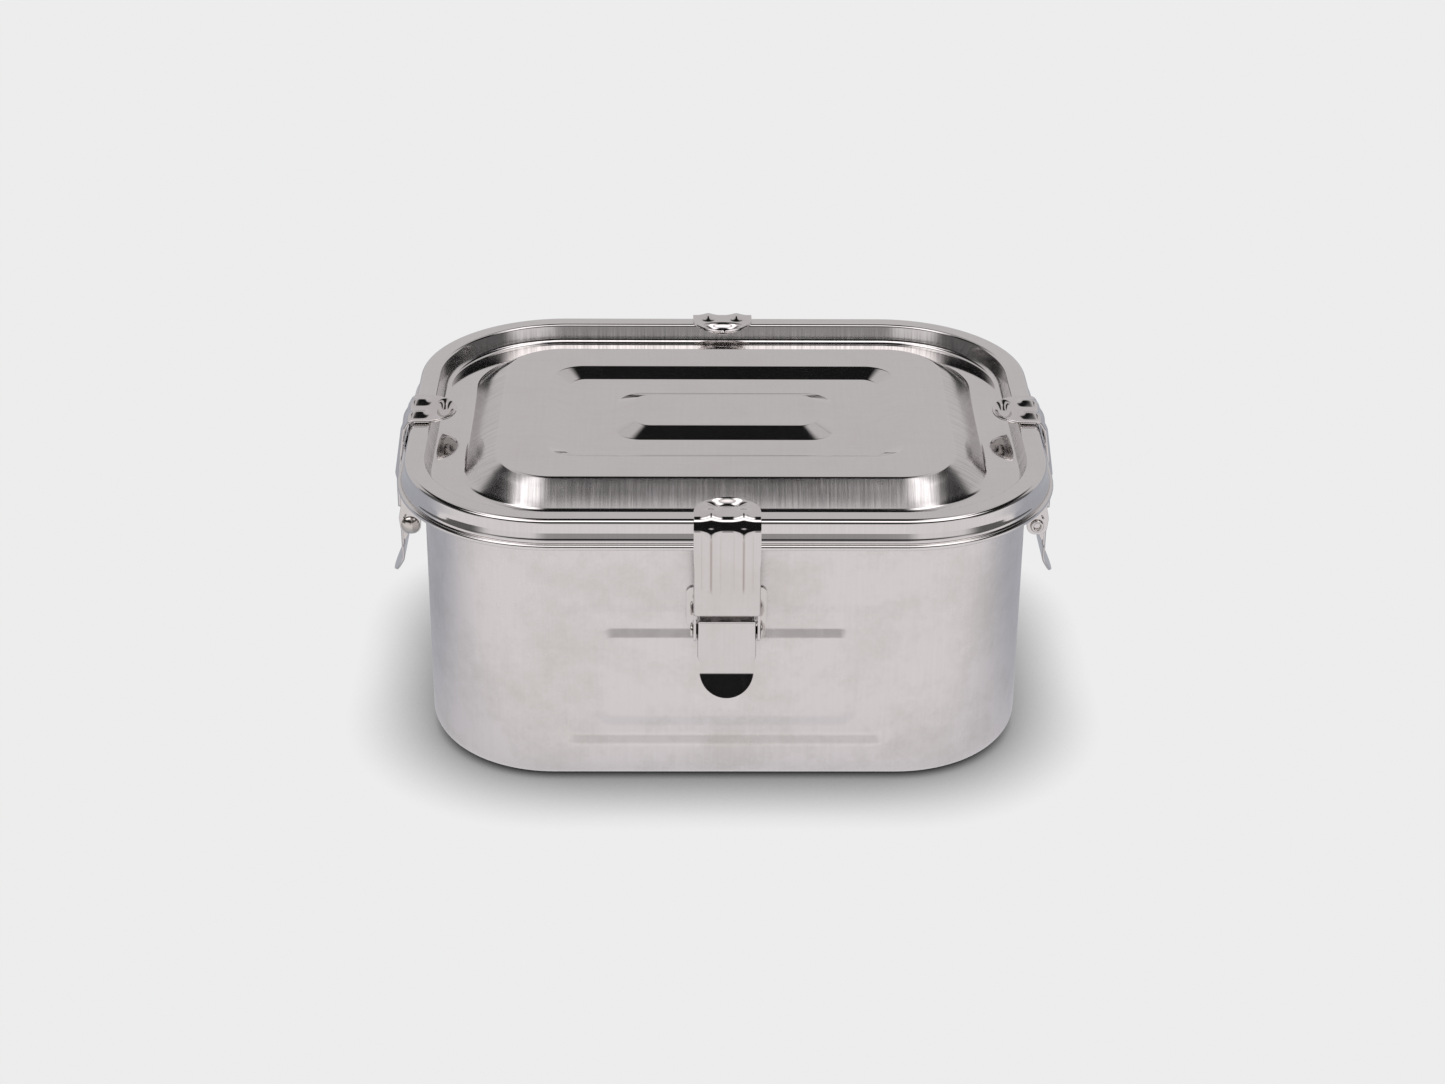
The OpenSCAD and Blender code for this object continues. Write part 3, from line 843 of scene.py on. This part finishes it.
def floor_material():
    """Pale paper with a soft contact shadow; the steel sees it darker behind the box."""
    mat, tree, bsdf = new_material("studio_paper")
    links = tree.links
    tree.nodes.remove(bsdf)
    corner = node(tree, "ShaderNodeAmbientOcclusion", samples=12, in_Distance=SHADOW_REACH)
    shade = calc(tree, "MULTIPLY", calc(tree, "POWER", corner.outputs["AO"], 1.5), PAPER_LIGHT)
    seen = node(tree, "ShaderNodeEmission", in_Color=(1, 1, 1, 1))
    links.new(shade, seen.inputs["Strength"])
    split = node(tree, "ShaderNodeSeparateXYZ")
    links.new(node(tree, "ShaderNodeNewGeometry").outputs["Position"], split.inputs[0])
    behind = soft_step(tree, split.outputs[1], -0.13, 0.02)
    mirrored = node(tree, "ShaderNodeEmission", in_Strength=1.0)
    near = tuple(PAPER_LIGHT * t for t in TINT)
    links.new(ramp(tree, behind, [(0.0, near), (1.0, PAPER_BEHIND)]), mirrored.inputs["Color"])
    paper = node(tree, "ShaderNodeMixShader")
    links.new(node(tree, "ShaderNodeLightPath").outputs["Is Glossy Ray"], paper.inputs[0])
    links.new(seen.outputs[0], paper.inputs[1])
    links.new(mirrored.outputs[0], paper.inputs[2])
    links.new(paper.outputs[0], tree.nodes["Material Output"].inputs["Surface"])
    return mat


def make_floor():
    mesh = bpy.data.meshes.new("studio_floor")
    s = FLOOR_HALF
    mesh.from_pydata([(-s, -s, 0), (s, -s, 0), (s, s, 0), (-s, s, 0)], [], [(0, 1, 2, 3)])
    mesh.materials.append(floor_material())
    floor = bpy.data.objects.new("studio_floor", mesh)
    bpy.context.scene.collection.objects.link(floor)


def softbox(tree, across, deep, inner, outer, near, far, edge):
    """1 inside a rectangle of the ceiling at height 1, with soft sides."""
    value = soft_step(tree, across, outer + edge, outer - edge)
    value = calc(tree, "MULTIPLY", value, soft_step(tree, deep, near - edge, near + edge))
    value = calc(tree, "MULTIPLY", value, soft_step(tree, deep, far + edge, far - edge))
    if inner > 0:
        value = calc(tree, "MULTIPLY", value, soft_step(tree, across, inner - edge, inner + edge))
    return value


def ceiling_light(tree, x, y, z):
    """Light of the ceiling seen in the direction (x, y, z), without DARK_LIGHT."""
    up = calc(tree, "MAXIMUM", z, 0.001)
    across = calc(tree, "ABSOLUTE", calc(tree, "DIVIDE", x, up))
    deep = calc(tree, "DIVIDE", y, up)
    pair, strip_box, glow = (softbox(tree, across, deep, *b) for b in (PAIR_BOX, FRONT_STRIP, GLOW_BOX))
    boxes = calc(tree, "MAXIMUM", calc(tree, "MAXIMUM", pair, strip_box), calc(tree, "MULTIPLY", glow, GLOW))
    return calc(tree, "MULTIPLY", boxes, BOX_LIGHT)


def wall_light(tree, x, y, z):
    """Light of the walls: lower and darker in the middle in front, high behind, dark to the sides."""
    squares = calc(tree, "ADD", calc(tree, "MULTIPLY", x, x), calc(tree, "MULTIPLY", y, y))
    level = calc(tree, "MAXIMUM", calc(tree, "SQRT", squares), 0.001)
    turn = calc(tree, "DIVIDE", y, level)
    aside = calc(tree, "ABSOLUTE", calc(tree, "DIVIDE", x, level))
    rearward = soft_step(tree, turn, -0.3, 0.5)
    off_middle = soft_step(tree, aside, 0.06, 0.26)
    front = calc(tree, "MULTIPLY_ADD", off_middle, FRONT_SIDE - FRONT_LIGHT, FRONT_LIGHT)
    light = calc(tree, "MULTIPLY_ADD", rearward, calc(tree, "SUBTRACT", BACK_LIGHT, front), front)
    gap = calc(tree, "MULTIPLY", soft_step(tree, turn, -0.72, -0.5), soft_step(tree, turn, 0.5, 0.3))
    light = calc(tree, "MULTIPLY", light, calc(tree, "MULTIPLY_ADD", gap, -SIDE_GAP, 1.0))
    high = calc(tree, "MULTIPLY_ADD", rearward, BACK_HIGH - FRONT_HIGH, FRONT_HIGH)
    rise = calc(tree, "DIVIDE", z, level)
    under_top = soft_step(tree, calc(tree, "SUBTRACT", rise, high), 0.09, -0.09)
    return calc(tree, "MULTIPLY", under_top, light)


def make_world():
    """Even soft light, and for reflections a studio: pale walls all round, higher behind, and in the
    dark ceiling a softbox on each side of the middle and one strip towards the front."""
    world = bpy.data.worlds.new("studio")
    bpy.context.scene.world = world
    world.use_nodes = True
    tree = world.node_tree
    back = tree.nodes["Background"]
    split = node(tree, "ShaderNodeSeparateXYZ")
    tree.links.new(node(tree, "ShaderNodeTexCoord").outputs["Generated"], split.inputs[0])
    room = calc(tree, "ADD", wall_light(tree, *split.outputs), DARK_LIGHT)
    seen = calc(tree, "MAXIMUM", ceiling_light(tree, *split.outputs), room)
    path = node(tree, "ShaderNodeLightPath").outputs
    plain = calc(tree, "MULTIPLY_ADD", path["Is Camera Ray"], PAPER_LIGHT - SOFT_LIGHT, SOFT_LIGHT)
    change = calc(tree, "SUBTRACT", seen, SOFT_LIGHT)
    strength = calc(tree, "MULTIPLY_ADD", path["Is Glossy Ray"], change, plain)
    tree.links.new(strength, back.inputs["Strength"])
    tree.links.new(ramp(tree, path["Is Glossy Ray"], [(0.0, 1.0), (1.0, TINT)]), back.inputs["Color"])


# ---------- camera ----------

SENSOR, LENS = 36.0, 69.29                       # mm
CAMERA_UP, CAMERA_TURN, CAMERA_ROLL = (math.radians(a) for a in (27.34, -0.79, 0.44))
CAMERA_AWAY = 0.9151                             # metres from the target
TARGET = Vector((-0.38 * MM, 0, (RIM_Z - 47.24) * MM))


def make_camera():
    """In front of the box and above it, a little to the left of square on."""
    data = bpy.data.cameras.new("camera")
    data.sensor_width = SENSOR
    data.lens = LENS
    cam = bpy.data.objects.new("camera", data)
    bpy.context.scene.collection.objects.link(cam)
    bpy.context.scene.camera = cam
    level, rise = math.cos(CAMERA_UP), math.sin(CAMERA_UP)
    back = Vector((math.sin(CAMERA_TURN) * level, -math.cos(CAMERA_TURN) * level, rise))
    right = Vector((math.cos(CAMERA_TURN), math.sin(CAMERA_TURN), 0))
    up = back.cross(right)
    rolled_right = right * math.cos(CAMERA_ROLL) + up * math.sin(CAMERA_ROLL)
    rolled_up = up * math.cos(CAMERA_ROLL) - right * math.sin(CAMERA_ROLL)
    columns = [rolled_right, rolled_up, back, TARGET + back * CAMERA_AWAY]
    cam.matrix_world = Matrix([[column[i] for column in columns] for i in range(3)] + [[0, 0, 0, 1]])


make_box()
make_clasp("front", 180, HY)
make_clasp("back", 0, HY)
make_clasp("left", 90, HX)
make_clasp("right", -90, HX)
make_floor()
make_world()
make_camera()
bpy.context.scene.view_settings.view_transform = "Standard"
